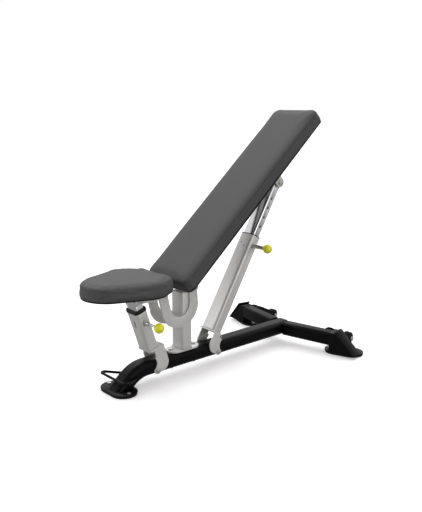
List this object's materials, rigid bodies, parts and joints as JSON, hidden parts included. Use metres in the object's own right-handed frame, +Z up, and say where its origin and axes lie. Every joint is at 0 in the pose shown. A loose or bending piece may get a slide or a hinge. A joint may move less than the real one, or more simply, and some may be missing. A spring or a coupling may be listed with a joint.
{
  "type": "adjustable weight bench",
  "caption": "Upholstered bench with a tilting seat and back rest on a steel floor frame, each held by a telescopic stay with a pull pin, and wheels at the rear.",
  "frame": {"origin": "on the floor, at the middle of the bounding box", "axes": "+X across the bench towards the pull knobs, +Y to the rear (the wheels), +Z up"},
  "size_m": [0.7794, 1.247, 1.0438],
  "materials": {
    "black_steel": "satin",
    "silver_steel": "satin",
    "chrome": "polished",
    "black_rubber": "matte",
    "black_plastic": "matte",
    "tyre": "matte",
    "yellow_plastic": "gloss",
    "grey_vinyl": "satin",
    "board": "matte"
  },
  "bodies": {
    "frame": {"main_beam": "black_steel", "beam_nose": "black_steel", "beam_plug": "black_plastic", "left_leg": "black_steel", "right_leg": "black_steel", "leg_boxes": "black_steel", "front_foot_plate": "black_steel", "rear_foot_plates": "black_steel", "foot_pads": "black_rubber", "foot_screws": "chrome", "front_handle": "black_steel", "wheel_forks": "black_steel", "wheel_axles": "chrome", "post_flange": "silver_steel", "centre_post": "silver_steel", "flange_bolts": "chrome", "left_cradle": "silver_steel", "right_cradle": "silver_steel", "back_hinge_bolt": "chrome", "seat_hinge_bolt": "chrome", "stay_foot_bolt": "chrome", "prop_foot_bolt": "chrome"},
    "left_wheel": {"left_wheel_hub": "black_plastic", "left_wheel_tyre": "tyre"},
    "right_wheel": {"right_wheel_hub": "black_plastic", "right_wheel_tyre": "tyre"},
    "back_rest": {"back_pad": "grey_vinyl", "back_board": "board", "back_rails": "silver_steel", "back_ties": "silver_steel", "back_lugs": "silver_steel", "back_ears": "silver_steel", "ear_studs": "chrome"},
    "back_stay": {"stay_tube": "silver_steel", "stay_hooks": "silver_steel", "stay_liner": "black_plastic", "stay_pin_housing": "black_steel"},
    "stay_inner": {"stay_slider": "chrome", "stay_slider_head": "chrome"},
    "stay_pin": {"stay_pull_pin": "chrome", "stay_knob": "yellow_plastic"},
    "seat": {"seat_pad": "grey_vinyl", "seat_board": "board", "seat_brackets": "silver_steel", "seat_studs": "chrome"},
    "seat_stay": {"prop_tube": "silver_steel", "prop_hooks": "silver_steel", "prop_collar": "black_plastic", "prop_pin_housing": "silver_steel"},
    "seat_stay_inner": {"prop_riser": "chrome", "prop_riser_head": "chrome"},
    "seat_pin": {"prop_pull_pin": "chrome", "prop_knob": "yellow_plastic"}
  },
  "joints": [
    {"name": "back_hinge", "type": "hinge", "parent": "frame", "child": "back_rest", "pos_m": [0, -0.1495, 0.36], "axis": [1, 0, 0], "range_deg": [-41, 34]},
    {"name": "back_stay_hinge", "type": "hinge", "parent": "frame", "child": "back_stay", "pos_m": [0, -0.0165, 0.058], "axis": [1, 0, 0], "range_deg": [-32, 26.6]},
    {"name": "back_stay_slide", "type": "slide", "parent": "back_stay", "child": "stay_inner", "axis": [0, 0.5152, 0.857], "range_m": [-0.192, 0.16]},
    {"name": "back_pin_pull", "type": "slide", "parent": "back_stay", "child": "stay_pin", "axis": [1, 0, 0], "range_m": [0, 0.012], "stiffness_N_per_m": 600, "springref_m": -0.008},
    {"name": "seat_hinge", "type": "hinge", "parent": "frame", "child": "seat", "pos_m": [0, -0.2995, 0.352], "axis": [-1, 0, 0], "range_deg": [0, 20]},
    {"name": "seat_stay_hinge", "type": "hinge", "parent": "frame", "child": "seat_stay", "pos_m": [0, -0.3305, 0.056], "axis": [-1, 0, 0], "range_deg": [0, 3.1]},
    {"name": "seat_stay_slide", "type": "slide", "parent": "seat_stay", "child": "seat_stay_inner", "axis": [0, -0.3198, 0.9475], "range_m": [0, 0.037]},
    {"name": "seat_pin_pull", "type": "slide", "parent": "seat_stay", "child": "seat_pin", "axis": [1, 0, 0], "range_m": [0, 0.012], "stiffness_N_per_m": 600, "springref_m": -0.008},
    {"name": "left_wheel_spin", "type": "hinge", "parent": "frame", "child": "left_wheel", "pos_m": [0.236, 0.59651, 0.03], "axis": [1, 0, 0], "continuous": true},
    {"name": "right_wheel_spin", "type": "hinge", "parent": "frame", "child": "right_wheel", "pos_m": [-0.236, 0.59651, 0.03], "axis": [1, 0, 0], "continuous": true}
  ],
  "couplings": [
    {"joint": "back_stay_hinge", "follows": "back_hinge", "ratio": 0.764},
    {"joint": "back_stay_slide", "follows": "back_hinge", "m_per_rad": 0.2657},
    {"joint": "seat_stay_hinge", "follows": "seat_hinge", "ratio": 0.148},
    {"joint": "seat_stay_slide", "follows": "seat_hinge", "m_per_rad": 0.1037}
  ]
}
